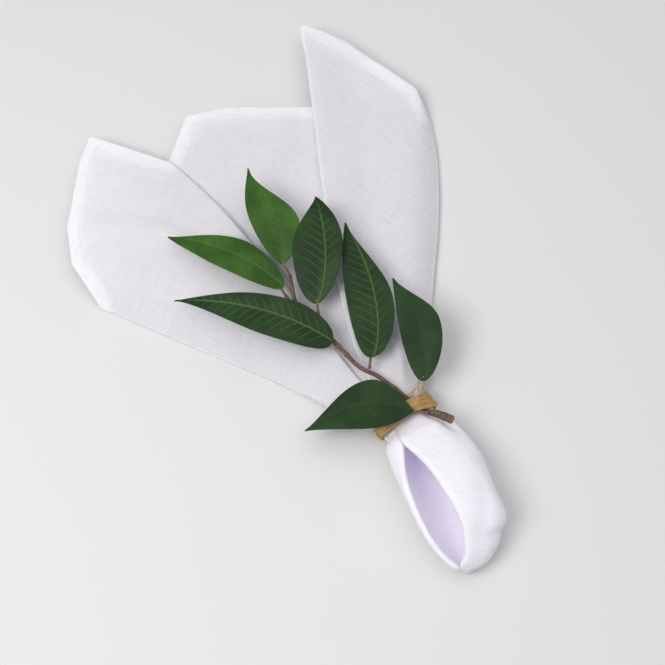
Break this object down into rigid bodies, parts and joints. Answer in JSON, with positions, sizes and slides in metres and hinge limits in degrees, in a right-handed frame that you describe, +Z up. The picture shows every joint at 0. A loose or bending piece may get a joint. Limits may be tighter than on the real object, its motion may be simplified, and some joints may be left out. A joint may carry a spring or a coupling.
{
  "type": "linen napkin in a ring",
  "caption": "Square white linen napkin fanned out in folds and pulled through a raffia ring that ties in a leafy sprig.",
  "frame": {"origin": "middle of the whole, on the surface that the napkin lies on", "axes": "+Z up, +Y along the fan of folds away from the ring, +X across it"},
  "size_m": [0.2449, 0.3507, 0.0341],
  "materials": {
    "linen": "matte",
    "raffia": "matte",
    "bark": "matte",
    "leaf_bright": "satin",
    "leaf_dark": "satin"
  },
  "bodies": {
    "root": {"napkin": "linen", "ring": "raffia", "twig": "bark", "leaf_1": "leaf_bright", "leaf_2": "leaf_bright", "leaf_3": "leaf_dark", "leaf_4": "leaf_dark", "leaf_5": "leaf_dark", "leaf_6": "leaf_dark", "leaf_7": "leaf_dark"}
  },
  "joints": []
}
